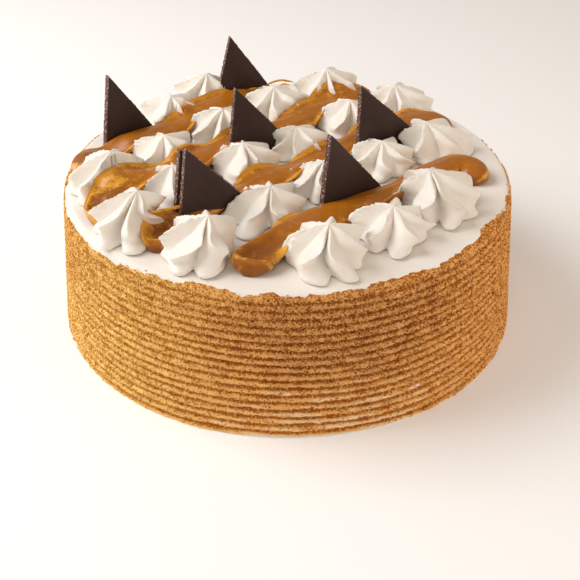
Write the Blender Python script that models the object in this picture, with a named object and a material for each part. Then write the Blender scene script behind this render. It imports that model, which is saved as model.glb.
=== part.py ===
"""Lucuma cake: a round uncut cake with a combed, crumb-coated side.

A drum of cake under cream carries diagonal rows of piped cream rosettes,
thick ribbons of caramel sauce in the valleys between the rows, and thin
right-angled chocolate triangles pushed upright into the top.
Metres, +Z up. The origin is the middle of the flat underside. -Y is the front.
"""
import math

import bmesh
import bpy
from mathutils import Matrix, Vector

MM = 0.001
GAP = 0.3 * MM                    # air left between pieces that touch

# ---- the drum ----
BASE_RADIUS = 120 * MM
TOP_RADIUS = 113 * MM             # the side leans in a little on its way up
DRUM_HEIGHT = 75 * MM
RIM_ROUND = 3 * MM                # radius of the soft edge round the top
DRUM_SIDES = 44
RIDGES = 17                       # crests that the toothed comb left on the side
RIDGE_PITCH = 4.0 * MM
FIRST_CREST = 4.7 * MM
RIDGE_DEPTH = 1.4 * MM
RIM_STEPS = 3

# ---- rosettes: name, x, y, base radius, height, lean of the tip in x and y (mm) ----
ROSETTES = (
    ("a1", 15.5, -84, 19.0, 19.0, 0.0, 0.0),
    ("a2", 48, -62, 19.5, 15.0, 0.0, 0.0),
    ("a3", 73.5, -38, 20.5, 21.0, -6.5, 0.0),
    ("b1", -41, -80, 18.5, 20.5, 6.0, 0.0),
    ("b2", -10, -44, 18.5, 15.5, 1.7, 0.0),
    ("b3", 12, -18, 17.0, 15.0, 5.4, 0.0),
    ("b4", 48, 5, 17.5, 14.5, 0.0, 0.0),
    ("b5", 80, 22, 19.0, 17.5, -8.0, 0.0),
    ("c1", -73, -59, 19.5, 21.0, 4.5, 1.0),
    ("c2", -56, -26, 17.0, 17.0, 0.0, 0.0),
    ("c3", -22, 0, 17.5, 16.0, -1.0, 0.0),
    ("c4", 8, 20, 16.5, 16.0, -4.0, 0.0),
    ("c5", 32, 50, 17.0, 17.0, 2.0, 0.0),
    ("c6", 66, 74, 18.0, 15.5, -5.7, 0.0),
    ("d1", -90, -20.5, 18.5, 20.0, 3.5, 4.0),
    ("d2", -64, 10, 18.5, 15.4, 0.0, 0.0),
    ("d3", -38, 40, 18.0, 17.0, 3.0, 0.0),
    ("d4", -6, 70, 19.0, 15.5, -2.0, 0.0),
    ("d5", 24, 91, 19.5, 18.0, -2.0, 0.0),
    ("e1", -65, 61, 17.5, 15.5, 0.0, -1.0),
    ("e2", -51, 88, 16.0, 16.0, 4.0, 0.0),
)
LOBES = 7                         # teeth of the star nozzle
GROOVE = 0.80                     # groove radius as a share of the crest radius
UNEVEN = 0.03                     # how much the lobes differ in reach
TWIST = math.radians(35)          # turn of a lobe on its way from base to tip
PHASE_STEP = math.radians(137.5)  # each rosette is turned on from the one before
# share of the height, share of the base radius: bulging skirt, hollow flank, tip
SWIRL = ((0.0, 0.86), (0.13, 0.99), (0.32, 0.88), (0.53, 0.62), (0.74, 0.36), (0.91, 0.15))
LEAN_CURVE = 1.5                  # the lean grows faster towards the tip
TOP_LIMIT = 111.5 * MM            # no rosette reaches past this circle
COVER_SIDES = 12                  # sides of the plain cone that clears a rosette

# ---- sauce ribbons: (x, y) of the path in mm, half width, thickness ----
RIBBONS = (
    ("sauce_ribbon_1", ((-20, -95), (-12, -80), (1, -68), (14, -57), (29, -44), (46, -32),
                        (62, -12), (78, 1), (91, 8), (99, -3), (92, -14)), 8.5, 6.5),
    ("sauce_ribbon_2", ((-59, -80), (-59, -64), (-44, -47), (-25, -29), (-12, -18), (3, -8),
                        (17, 3), (31, 20), (46, 37), (62, 50), (77, 55), (88, 52)), 8.5, 8.0),
    ("sauce_ribbon_3", ((-88, -54), (-93, -43), (-83, -35), (-74, -21), (-60, -8), (-42, 11),
                        (-30, 20), (-16, 31), (-3, 40), (8, 50), (18, 64), (30, 80),
                        (48, 92)), 8.5, 9.0),
    ("sauce_ribbon_4", ((-108, 5), (-98, 13), (-84, 26), (-72, 34), (-58, 44), (-47, 62),
                        (-35, 72), (-24, 80), (-14, 85)), 8.0, 8.0),
)
STATION_STEP = 9 * MM             # spacing of the cross-sections along a ribbon
CURVE_STEPS = 20                  # fine steps between two points of a path
ARC_POINTS = 5                    # points over the rounded back of a ribbon
END_SHARE = 0.45                  # width and thickness left at a ribbon's two ends
END_STATIONS = 2                  # cross-sections over which an end fills out
EDGE_SHARE = 0.25                 # height of the rounded edge above the foot
FOOT_SHARE = 0.9                  # the foot is a little narrower than the ribbon
WAVE = 0.12                       # how much a ribbon swells and thins on its way
WAVE_STEP = 2.1                   # radians of that swell from station to station

# ---- chocolate: x, y of the upright edge's foot, turn and tip in degrees, foot length ----
UPRIGHT_LEG = 40 * MM
CHOCOLATE_THICK = 3.4 * MM
CHOCOLATES = (
    ("chocolate_1_front", -50.0, -57.8, 28.0, 7.2, 46),
    ("chocolate_2", 16.5, -44.5, 38.0, 6.9, 45),
    ("chocolate_3", 37.0, 13.3, 29.5, 0.5, 44),
    ("chocolate_4", -30.4, 9.4, 23.5, 6.5, 43),
    ("chocolate_5", -96.9, 23.0, 41.6, 9.2, 38),
    ("chocolate_6", -41.6, 82.0, 18.4, 13.8, 45),
)
TWIN_GAP = 0.9 * MM               # slit between the doubled pair of triangles
TWIN_SHIFT = 1.0 * MM             # the rear one stands a little to the left
TWIN_DROP = 2.0 * MM              # and is pushed in deeper

SAUCE_MATERIAL = ((0.50, 0.19, 0.02), 0.22)
CREAM_MATERIAL = ((0.87, 0.80, 0.69), 0.50)
CRUMB_MATERIAL = ((0.55, 0.29, 0.10), 0.80)
CHOCOLATE_MATERIAL = ((0.035, 0.018, 0.014), 0.45)


def clear_scene():
    for item in list(bpy.data.objects):
        bpy.data.objects.remove(item, do_unlink=True)


def make_material(name, colour, roughness):
    material = bpy.data.materials.new(name)
    material.use_nodes = True
    shader = material.node_tree.nodes["Principled BSDF"]
    shader.inputs["Base Color"].default_value = (*colour, 1.0)
    shader.inputs["Roughness"].default_value = roughness
    shader.inputs["Metallic"].default_value = 0.0
    return material


def finish(name, bm, material=None, smooth_angle=40):
    """Turn a bmesh into a named object, every face a triangle and facing out."""
    bmesh.ops.recalc_face_normals(bm, faces=bm.faces[:])
    bmesh.ops.triangulate(bm, faces=bm.faces[:])
    mesh = bpy.data.meshes.new(name)
    bm.to_mesh(mesh)
    bm.free()
    mesh.shade_smooth()
    mesh.set_sharp_from_angle(angle=math.radians(smooth_angle))
    item = bpy.data.objects.new(name, mesh)
    bpy.context.collection.objects.link(item)
    if material is not None:
        mesh.materials.append(material)
    return item


def make_cutter(name, bm):
    cutter = finish(name, bm)
    cutter.hide_render = True
    cutter.display_type = "WIRE"
    return cutter


def cut(item, cutter):
    boolean = item.modifiers.new("clear_of_" + cutter.name, "BOOLEAN")
    boolean.operation = "DIFFERENCE"
    boolean.solver = "EXACT"
    boolean.object = cutter


def loft(bm, rings, apex=None):
    """Skin rings of equal length, with a face below and a face or an apex above."""
    loops = [[bm.verts.new(point) for point in ring] for ring in rings]
    for lower, upper in zip(loops, loops[1:]):
        count = len(lower)
        for i in range(count):
            j = (i + 1) % count
            bm.faces.new((lower[i], lower[j], upper[j], upper[i]))
    bm.faces.new(list(reversed(loops[0])))
    if apex is None:
        bm.faces.new(loops[-1])
    else:
        tip = bm.verts.new(apex)
        last = loops[-1]
        for i, vertex in enumerate(last):
            bm.faces.new((vertex, last[(i + 1) % len(last)], tip))


# ---------------------------------------------------------------- the drum
def side_radius(z):
    return BASE_RADIUS + (TOP_RADIUS - BASE_RADIUS) * z / DRUM_HEIGHT


def drum_profile():
    """Radius and height up the side: foot, combed ridges, then the soft rim."""
    points = [(side_radius(0.0), 0.0)]
    for i in range(RIDGES):
        crest = FIRST_CREST + i * RIDGE_PITCH
        groove = crest - RIDGE_PITCH / 2
        points.append((side_radius(groove) - RIDGE_DEPTH, groove))
        points.append((side_radius(crest), crest))
    centre_r = TOP_RADIUS - RIM_ROUND
    centre_z = DRUM_HEIGHT - RIM_ROUND
    for i in range(RIM_STEPS + 1):
        angle = math.pi / 2 * i / RIM_STEPS
        points.append((centre_r + RIM_ROUND * math.cos(angle),
                       centre_z + RIM_ROUND * math.sin(angle)))
    return points


def build_drum(material):
    rings = []
    for radius, z in drum_profile():
        angles = [2 * math.pi * i / DRUM_SIDES for i in range(DRUM_SIDES)]
        rings.append([Vector((radius * math.cos(a), radius * math.sin(a), z)) for a in angles])
    bm = bmesh.new()
    loft(bm, rings)
    return finish("cake_body", bm, material)


# ---------------------------------------------------------------- chocolate
def chocolate_frame(x, y, turn, tip):
    """Matrix of a triangle: X along its foot, Z up its upright edge, Y to the back."""
    place = Matrix.Translation((x * MM, y * MM, DRUM_HEIGHT))
    turned = place @ Matrix.Rotation(math.radians(turn), 4, "Z")
    return turned @ Matrix.Rotation(math.radians(tip), 4, "Y")


def chocolate_list():
    """Every triangle with its frame and foot: the first has a twin close behind it."""
    pieces = []
    for name, x, y, turn, tip, foot in CHOCOLATES:
        frame = chocolate_frame(x, y, turn, tip)
        pieces.append((name, frame, foot * MM))
        if name.endswith("_front"):
            step = Matrix.Translation((-TWIN_SHIFT, CHOCOLATE_THICK + TWIN_GAP, -TWIN_DROP))
            pieces.append((name.replace("_front", "_back"), frame @ step, foot * MM))
    return pieces


def triangle_prism(frame, foot, grow=0.0):
    """Right-angled triangle of chocolate; grow moves every face out by that much."""
    slope = math.atan2(UPRIGHT_LEG, foot)
    reach = grow * (1 + math.cos(slope)) / math.sin(slope)
    rise = grow * (1 + math.sin(slope)) / math.cos(slope)
    corners = ((-grow, -grow), (foot + reach, -grow), (-grow, UPRIGHT_LEG + rise))
    bm = bmesh.new()
    rings = []
    for y in (-grow, CHOCOLATE_THICK + grow):
        rings.append([frame @ Vector((x, y, z)) for x, z in corners])
    loft(bm, rings)
    return bm


# ---------------------------------------------------------------- rosettes
def lean_at(rosette, share):
    """Middle of a rosette at a share of its height: its tip leans sideways."""
    _, x, y, _, height, lean_x, lean_y = rosette
    drift = share ** LEAN_CURVE
    floor = DRUM_HEIGHT + GAP
    return Vector(((x + lean_x * drift) * MM, (y + lean_y * drift) * MM, floor + height * MM * share))


def fences(rosette, chocolates):
    """Upright planes (normal, distance) that keep a rosette off its neighbours."""
    name, x, y, radius = rosette[:4]
    centre = Vector((x, y)) * MM
    radius = radius * MM
    planes = []
    for other in ROSETTES:
        away = Vector(other[1:3]) * MM - centre
        span = away.length
        other_radius = other[3] * MM
        if other[0] == name or span >= radius + other_radius + GAP:
            continue
        share = (span ** 2 + radius ** 2 - other_radius ** 2) / (2 * span)
        normal = away / span
        planes.append((normal, normal.dot(centre) + share - GAP / 2))
    for _, frame, foot in chocolates:
        corner = frame.to_translation().to_2d()
        along = frame.to_3x3().col[0].to_2d().normalized()
        back = frame.to_3x3().col[1].to_2d().normalized()
        sides = ((back, 0.0), (-back, CHOCOLATE_THICK), (along, 0.0), (-along, foot))
        fronts = []
        for normal, depth in sides:
            distance = corner.dot(normal) - depth - GAP
            fronts.append((distance - centre.dot(normal), distance, normal))
        room, distance, normal = max(fronts, key=lambda front: front[0])
        if room < radius:
            planes.append((normal, distance))
    return planes


def held_back(point, middle, planes):
    """Pull a point towards the middle until it is inside every plane and the rim."""
    start = middle.to_2d()
    reach = point.to_2d() - start
    share = 1.0
    for normal, distance in planes:
        outward = reach.dot(normal)
        room = distance - normal.dot(start)
        if outward > room:
            share = min(share, room / outward)
    # where the line from the middle through the point leaves the rim's circle
    half = start.dot(reach) / reach.length_squared
    spare = (TOP_LIMIT ** 2 - start.length_squared) / reach.length_squared
    share = min(share, math.sqrt(half ** 2 + spare) - half)
    flat = start + reach * share
    return Vector((flat.x, flat.y, point.z))


def build_rosette(index, rosette, planes, material):
    name = rosette[0]
    radius = rosette[3]
    count = LOBES * 2
    rings = []
    for share, width in SWIRL:
        middle = lean_at(rosette, share)
        ring = []
        for i in range(count):
            angle = index * PHASE_STEP + TWIST * share + 2 * math.pi * i / count
            depth = 1.0 if i % 2 else GROOVE
            unevenness = 1 - UNEVEN * (1 + math.sin(3 * i + 5 * index))
            reach = radius * MM * width * depth * unevenness
            point = middle + Vector((reach * math.cos(angle), reach * math.sin(angle), 0))
            ring.append(held_back(point, middle, planes))
        rings.append(ring)
    bm = bmesh.new()
    loft(bm, rings, apex=lean_at(rosette, 1.0))
    return finish("cream_rosette_" + name, bm, material, smooth_angle=25)


def rosette_cover(rosette):
    """Plain cone just outside a rosette, which cuts the sauce clear of it."""
    name = rosette[0]
    radius = rosette[3]
    around = 1 / math.cos(math.pi / COVER_SIDES)
    rings = []
    for share, width in ((0.0, 1.0), *SWIRL[1:], (1.0, 0.02)):
        middle = lean_at(rosette, share)
        middle.z += GAP if share > 0 else -RIM_ROUND
        reach = radius * MM * width * around + GAP
        angles = [2 * math.pi * i / COVER_SIDES for i in range(COVER_SIDES)]
        rings.append([middle + Vector((math.cos(a), math.sin(a), 0)) * reach for a in angles])
    bm = bmesh.new()
    loft(bm, rings)
    return make_cutter("cover_" + name, bm)


# ---------------------------------------------------------------- sauce
def catmull(p0, p1, p2, p3, t):
    return 0.5 * ((2 * p1) + (p2 - p0) * t + (2 * p0 - 5 * p1 + 4 * p2 - p3) * t ** 2
                  + (3 * p1 - p0 - 3 * p2 + p3) * t ** 3)


def smooth_path(points):
    """Evenly spaced points on one smooth curve through the given ones."""
    knots = [Vector((x * MM, y * MM)) for x, y in points]
    knots = [2 * knots[0] - knots[1]] + knots + [2 * knots[-1] - knots[-2]]
    fine = []
    for i in range(1, len(knots) - 2):
        for step in range(CURVE_STEPS):
            share = step / CURVE_STEPS
            fine.append(catmull(knots[i - 1], knots[i], knots[i + 1], knots[i + 2], share))
    fine.append(knots[-2])
    lengths = [0.0]
    for a, b in zip(fine, fine[1:]):
        lengths.append(lengths[-1] + (b - a).length)
    count = max(3, round(lengths[-1] / STATION_STEP))
    path = []
    k = 0
    for i in range(count + 1):
        target = lengths[-1] * i / count
        while k < len(lengths) - 2 and lengths[k + 1] < target:
            k += 1
        share = (target - lengths[k]) / (lengths[k + 1] - lengths[k])
        path.append(fine[k].lerp(fine[k + 1], share))
    return path


def build_ribbon(index, ribbon, material):
    name, points, half_width, thickness = ribbon
    path = smooth_path(points)
    last = len(path) - 1
    rings = []
    for i, place in enumerate(path):
        ahead = path[min(i + 1, last)] - path[max(i - 1, 0)]
        side = Vector((-ahead.y, ahead.x)).normalized()
        run = min(1.0, min(i, last - i) / END_STATIONS)
        swell = (END_SHARE + (1 - END_SHARE) * run) * (1 + WAVE * math.sin(WAVE_STEP * i + index))
        floor = DRUM_HEIGHT + GAP
        reach = side * half_width * MM * swell
        ring = []
        for k in range(ARC_POINTS):
            angle = math.pi * k / (ARC_POINTS - 1)
            point = place + reach * math.cos(angle)
            up = EDGE_SHARE + (1 - EDGE_SHARE) * math.sin(angle)
            ring.append(Vector((point.x, point.y, floor + thickness * MM * swell * up)))
        for sign in (-FOOT_SHARE, FOOT_SHARE):
            point = place + reach * sign
            ring.append(Vector((point.x, point.y, floor)))
        rings.append(ring)
    bm = bmesh.new()
    loft(bm, rings)
    return finish(name, bm, material)


def main():
    clear_scene()
    crumb = make_material("toasted_crumb", *CRUMB_MATERIAL)
    cream = make_material("whipped_cream", *CREAM_MATERIAL)
    sauce = make_material("caramel_sauce", *SAUCE_MATERIAL)
    chocolate = make_material("dark_chocolate", *CHOCOLATE_MATERIAL)

    drum = build_drum(crumb)
    chocolates = chocolate_list()
    slots = []
    for name, frame, size in chocolates:
        finish(name, triangle_prism(frame, size), chocolate)
        slot = make_cutter("slot_" + name, triangle_prism(frame, size, GAP))
        slots.append(slot)
        cut(drum, slot)

    covers = []
    for index, rosette in enumerate(ROSETTES):
        build_rosette(index, rosette, fences(rosette, chocolates), cream)
        covers.append(rosette_cover(rosette))

    for index, ribbon in enumerate(RIBBONS):
        strip = build_ribbon(index, ribbon, sauce)
        for cutter in covers + slots:
            cut(strip, cutter)


main()
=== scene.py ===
# %% [markdown]
# # A combed caramel cake, cell by cell
# This lesson dresses a finished construction model of a round cake so that it looks good enough
# to eat. The model, called the frame here, already holds every solid at its real size: the drum,
# the piped rosettes, the sauce ribbons and the chocolate triangles. We load it first. Nothing that
# we add may outgrow it. Everything is in metres, +Z is up, the front of the cake looks along -Y,
# and the drum stands on z = 0.

# %% Load the frame
import math
import random

import bpy
import numpy as np
from mathutils import Matrix, Vector
from mathutils.bvhtree import BVHTree


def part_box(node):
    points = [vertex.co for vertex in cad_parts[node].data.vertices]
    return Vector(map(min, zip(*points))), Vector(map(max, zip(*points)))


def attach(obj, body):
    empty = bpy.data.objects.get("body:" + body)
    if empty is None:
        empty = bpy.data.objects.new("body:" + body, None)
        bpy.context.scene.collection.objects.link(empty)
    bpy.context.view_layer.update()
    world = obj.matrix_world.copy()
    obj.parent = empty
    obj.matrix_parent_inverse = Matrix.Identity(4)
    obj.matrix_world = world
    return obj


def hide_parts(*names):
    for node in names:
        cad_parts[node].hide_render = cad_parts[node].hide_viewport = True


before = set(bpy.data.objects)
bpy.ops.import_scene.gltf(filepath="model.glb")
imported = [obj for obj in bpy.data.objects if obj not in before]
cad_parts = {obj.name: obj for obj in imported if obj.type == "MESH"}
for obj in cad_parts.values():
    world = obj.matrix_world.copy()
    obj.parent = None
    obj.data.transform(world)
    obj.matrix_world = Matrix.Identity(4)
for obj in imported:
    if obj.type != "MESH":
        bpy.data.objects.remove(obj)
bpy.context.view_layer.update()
MM = 0.001
print("nodes in the frame:", len(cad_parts))

# %% [markdown]
# ## The camera
# The picture that we match was taken from in front and about 35 degrees above the table. A camera
# in Blender looks along its own -Z, with its own +Y up, so we point it at the middle of the foot
# with to_track_quat and then roll it by a hair. The lens is long, which keeps the drum from
# bulging in perspective. Lights look along their -Z too, so the helper that aims serves both.

# %% Camera
CAMERA_DISTANCE = 557.3 * MM
CAMERA_RISE = math.radians(34.8)
CAMERA_TARGET = Vector((1.07 * MM, 0, 0))
CAMERA_ROLL = math.radians(0.152)
SENSOR = 36.0
LENS = 62.07
NEAREST = 10 * MM                     # what is nearer to the camera isn't drawn


def into_scene(name, data):
    """Make an object of the data and link it to the scene."""
    item = bpy.data.objects.new(name, data)
    bpy.context.scene.collection.objects.link(item)
    return item


def aim_at(item, target, roll=0.0):
    item.rotation_mode = "QUATERNION"
    turn = (target - item.location).to_track_quat("-Z", "Y")
    item.rotation_quaternion = turn @ Matrix.Rotation(roll, 3, "Z").to_quaternion()


def place_camera():
    data = bpy.data.cameras.new("camera")
    data.sensor_width = SENSOR
    data.lens = LENS
    data.clip_start = NEAREST
    camera = into_scene("camera", data)
    camera.location = (0, -CAMERA_DISTANCE * math.cos(CAMERA_RISE), CAMERA_DISTANCE * math.sin(CAMERA_RISE))
    aim_at(camera, CAMERA_TARGET, CAMERA_ROLL)
    bpy.context.scene.camera = camera


place_camera()
bpy.context.scene.view_settings.view_transform = "Standard"
print("lens:", LENS, "mm")

# %% [markdown]
# ## Light
# Food looks soft under a big window. One wide area light stands high and straight to the left; it
# gives the cream its bright left faces and its beige right ones. Two weaker and warmer panels, one
# in front and one on the right, keep the shaded side of the drum readable, and a warm, pale world
# fills the rest.

# %% Light
LIGHTS = (
    # name, place, size, power in watts, colour
    ("window", (-0.74, 0.06, 0.74), 0.75, 9.0, (1.0, 0.995, 0.985)),
    ("front_panel", (-0.10, -1.10, 0.95), 0.9, 2.4, (1.0, 0.95, 0.88)),
    ("right_panel", (0.85, -0.45, 0.30), 0.8, 3.0, (1.0, 0.89, 0.78)),
)
WORLD_COLOUR = (1.0, 0.83, 0.67, 1.0)
WORLD_STRENGTH = 0.36
LIGHT_AIM = Vector((0, 0, 60 * MM))


def place_light(name, place, size, power, colour):
    data = bpy.data.lights.new(name, "AREA")
    data.size = size
    data.energy = power
    data.color = colour
    light = into_scene(name, data)
    light.location = place
    aim_at(light, LIGHT_AIM)


def place_world():
    world = bpy.data.worlds.new("pale_studio")
    bpy.context.scene.world = world
    world.use_nodes = True
    background = world.node_tree.nodes["Background"]
    background.inputs["Color"].default_value = WORLD_COLOUR
    background.inputs["Strength"].default_value = WORLD_STRENGTH


for light in LIGHTS:
    place_light(*light)
place_world()
print("lights:", len(LIGHTS))

# %% [markdown]
# ## Shader maths that reads like Python
# A material is a small graph of nodes. Wiring it by hand hides the idea behind many lines, so one
# class wraps an output socket and turns + - * into Math nodes, and a second class holds the
# material and makes any other node with one method. Every pattern reads Object coordinates, so it
# sticks to the cake wherever the camera goes.

# %% Shader helpers


class Flow:
    """An output socket. Arithmetic on it adds Math nodes to its material."""

    def __init__(self, paint, socket):
        self.paint = paint
        self.socket = socket

    def math(self, operation, a, b):
        return self.paint.add("ShaderNodeMath", {"operation": operation}, {0: a, 1: b})

    def __add__(self, other):
        return self.math("ADD", self, other)

    def __sub__(self, other):
        return self.math("SUBTRACT", self, other)

    def __rsub__(self, other):
        return self.math("SUBTRACT", other, self)

    def __mul__(self, other):
        return self.math("MULTIPLY", self, other)

    __radd__ = __add__
    __rmul__ = __mul__

    def sway(self, width):
        """A value from 0 to 1 as one round 0, that wide from end to end."""
        return (self - 0.5) * width


class Paint:
    """A material under construction, with its Principled shader at the end."""

    def __init__(self, name, **constants):
        self.material = bpy.data.materials.new(name)
        self.material.use_nodes = True
        self.tree = self.material.node_tree
        self.shader = self.tree.nodes["Principled BSDF"]
        for key, value in constants.items():
            self.shader.inputs[key.replace("_", " ")].default_value = value
        self.place = self.add("ShaderNodeTexCoord", out="Object")

    def add(self, kind, settings=None, sockets=None, out=0):
        """Any node: its type, its settings, then the values or links of its sockets."""
        node = self.tree.nodes.new(kind)
        for key, value in (settings or {}).items():
            setattr(node, key, value)
        for key, value in (sockets or {}).items():
            if isinstance(value, Flow):
                self.tree.links.new(value.socket, node.inputs[key])
            else:
                node.inputs[key].default_value = value
        return Flow(self, node.outputs[out])

    def noise(self, size, detail=2.0):
        """Soft noise from 0 to 1 whose lumps are about that many metres wide."""
        return self.add("ShaderNodeTexNoise", None,
                        {"Vector": self.place, "Scale": 1 / size, "Detail": detail})

    def cells(self, size, out="Color"):
        """Voronoi cells of that size; Color is a random value for each cell."""
        return self.add("ShaderNodeTexVoronoi", None, {"Vector": self.place, "Scale": 1 / size}, out)

    def step(self, value, low, high):
        """0 below low, 1 above high, smooth between."""
        return self.add("ShaderNodeMapRange", {"interpolation_type": "SMOOTHSTEP"},
                        {"Value": value, "From Min": low, "From Max": high})

    def mix(self, share, a, b):
        """Colour a where share is 0 and colour b where it is 1."""
        sockets = {"Factor": share, 6: a if isinstance(a, Flow) else (*a, 1.0),
                   7: b if isinstance(b, Flow) else (*b, 1.0)}
        return self.add("ShaderNodeMix", {"data_type": "RGBA"}, sockets, out=2)

    def attribute(self, name):
        """A number that the mesh carries at each point."""
        return self.add("ShaderNodeAttribute", {"attribute_name": name}, out="Fac")

    def bump(self, height, depth, strength, under=None):
        """Fine relief from a height of 0 to 1, depth in metres; under is a coarser relief."""
        sockets = {"Height": height, "Distance": depth, "Strength": strength}
        if under:
            sockets["Normal"] = under
        return self.add("ShaderNodeBump", None, sockets, out="Normal")

    def finish(self, **links):
        """Wire the results into the shader's sockets."""
        for key, value in links.items():
            self.tree.links.new(value.socket, self.shader.inputs[key.replace("_", " ")])
        return self.material


print("shader helpers are ready")

# %% [markdown]
# ## Whipped cream
# Cream is warm white and a little see-through: light sinks in and comes out softer, which the
# shader's Subsurface does; its scale is a length in metres. Real cream has tiny bubbles, so a faint
# bump breaks up the gloss, and wide patches make it a touch more yellow here and there.

# %% Cream
CREAM = (0.91, 0.870, 0.820)
CREAM_WARM = (0.905, 0.85, 0.775)
WARM_PATCH = 14 * MM
BUBBLE, BUBBLE_DEPTH = 0.9 * MM, 0.12 * MM


def make_cream():
    paint = Paint("whipped_cream", Roughness=0.42, Subsurface_Weight=0.35, Subsurface_Scale=0.004,
                  Subsurface_Radius=(1.0, 0.72, 0.45), IOR=1.40)
    patches = paint.step(paint.noise(WARM_PATCH, 3.0), 0.35, 0.75)
    colour = paint.mix(patches, CREAM, CREAM_WARM)
    bubbles = paint.noise(BUBBLE, 3.0)
    return paint.finish(Base_Color=colour, Normal=paint.bump(bubbles, BUBBLE_DEPTH, 0.35))


cream = make_cream()
print("made", cream.name)

# %% [markdown]
# ## Caramel sauce
# The sauce is thick and glossy, golden where it lies thin over cream and deep orange-brown where
# it pools. The mesh carries two numbers for these, and noise of three sizes mottles them; the
# number for pooling also paints shade deep in the hollow and low on the walls, and the number for
# thin sauce also paints highlights on the shoulders and along the front rim of the hollow. A clear
# coat gives the wet shine. Little dents and grains in the bump make the highlights break up as they
# do on real caramel.

# %% Caramel
# the deep colour also serves as painted shade, and the pale one as painted highlight
CARAMEL_GOLD = (0.42, 0.136, 0.005)
CARAMEL_DEEP_AND_SHADE = (0.25, 0.072, 0.003)
CARAMEL_THIN_AND_LIT = (0.80, 0.38, 0.034)
POOL_PATCH, BLOT, FLECK = 11 * MM, 4 * MM, 1.2 * MM
DENT, DENT_DEPTH = 6 * MM, 0.5 * MM
GRAIN, GRAIN_DEPTH = 1.6 * MM, 0.28 * MM


def make_caramel():
    paint = Paint("caramel_sauce", Roughness=0.34, Subsurface_Weight=0.12, Subsurface_Scale=0.002,
                  Subsurface_Radius=(1.0, 0.55, 0.15), Coat_Weight=0.15, Coat_Roughness=0.10,
                  Specular_IOR_Level=0.35)
    # deep caramel in random patches, plus painted shade in the hollow and low on the walls
    pools = paint.step(paint.noise(POOL_PATCH) * 0.8 + paint.attribute("pool") * 0.5, 0.32, 0.85)
    body = paint.mix(pools, CARAMEL_GOLD, CARAMEL_DEEP_AND_SHADE)
    mottled = paint.noise(BLOT, 3.0).sway(1.1) + paint.noise(FLECK).sway(0.8)
    # pale where the sauce is thin, plus painted highlights on the shoulders and the front rim
    thin = paint.step(mottled + paint.attribute("thin") * 0.70, 0.10, 0.66)
    colour = paint.mix(thin * 0.90, body, CARAMEL_THIN_AND_LIT)
    dented = paint.bump(paint.noise(DENT), DENT_DEPTH, 0.35)
    relief = paint.bump(paint.noise(GRAIN), GRAIN_DEPTH, 0.40, under=dented)
    return paint.finish(Base_Color=colour, Normal=relief)


caramel = make_caramel()
print("made", caramel.name)

# %% [markdown]
# ## Dark chocolate
# The triangles were cut from a moulded sheet. Their faces are matt and very dark, with the fine
# tooth of the baking foil; the cut edges are paler, broken and speckled with pinkish brown. Both
# finishes are one material: a number on the mesh says how much of an edge each point is.

# %% Chocolate
CHOCOLATE_FACE = (0.044, 0.0245, 0.0195)
CHOCOLATE_BLOOM = (0.070, 0.042, 0.035)
CHOCOLATE_EDGE = (0.14, 0.072, 0.060)
CHOCOLATE_SPECK = (0.62, 0.45, 0.40)
TOOTH, TOOTH_DEPTH = 0.8 * MM, 0.15 * MM
SPECK, SPECK_DEPTH = 1.3 * MM, 0.3 * MM


def make_chocolate():
    paint = Paint("dark_chocolate", Roughness=0.60, Specular_IOR_Level=0.28)
    edge = paint.attribute("cut_edge")
    tooth = paint.noise(TOOTH, 4.0)
    face = paint.mix(paint.step(tooth, 0.45, 0.85), CHOCOLATE_FACE, CHOCOLATE_BLOOM)
    specks = paint.step(paint.cells(SPECK, out="Distance"), 0.42, 0.26)
    broken = paint.mix(specks, CHOCOLATE_EDGE, CHOCOLATE_SPECK)
    colour = paint.mix(edge, face, broken)
    speckled = paint.bump(specks * edge, SPECK_DEPTH, 0.8)
    relief = paint.bump(tooth, TOOTH_DEPTH, 0.5, under=speckled)
    return paint.finish(Base_Color=colour, Normal=relief)


chocolate = make_chocolate()
print("made", chocolate.name)

# %% [markdown]
# ## Toasted crumb
# The side is pressed full of fine toasted crumbs. The comb's crests are pale tan, the grooves
# hold darker, browner crumbs, and the whole coat turns from gold on the left to orange-brown on
# the right. The mesh carries five numbers for this: groove, cover (0 on bare cream), toast for how
# brown the coat is, golden for its left half, and bare where the comb left few crumbs on a crest;
# the same number paints a highlight along those crests. Small Voronoi cells then give every crumb
# its own tone, and a few become dark or very pale.

# %% Crumb
# crest and groove colours where the coat is golden, orange-tan and most toasted
CREST_GOLD, GROOVE_GOLD = (0.95, 0.64, 0.21), (0.60, 0.26, 0.034)
CREST_TAN, GROOVE_TAN = (0.95, 0.53, 0.165), (0.49, 0.152, 0.015)
CREST_BROWN, GROOVE_BROWN = (0.74, 0.38, 0.12), (0.30, 0.078, 0.008)
CRUMB_DARK = (0.11, 0.030, 0.007)
CRUMB_PALE = (0.96, 0.69, 0.33)
# painted shade: the spread cream is a touch darker and warmer than the piped cream
CREAM_SPREAD_SHADED = (0.880, 0.835, 0.785)    # the smooth cream under the coat and on the top
# the same pale tone is also a painted highlight along those crests
CRUMB_THIN_AND_LIT = (0.95, 0.75, 0.47)         # where the cream shows through on bare crests
TOAST_PATCH, BLOTCH = 9 * MM, 6 * MM
CRUMB_CELL, CRUMB_DEPTH = 0.8 * MM, 0.35 * MM
FINE, FINE_DEPTH = 1.2 * MM, 0.5 * MM
BURNT_CELL = 1.5 * MM
BURNT_GRAIN, BURNT_DEPTH = 0.6 * MM, 0.2 * MM


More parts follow.
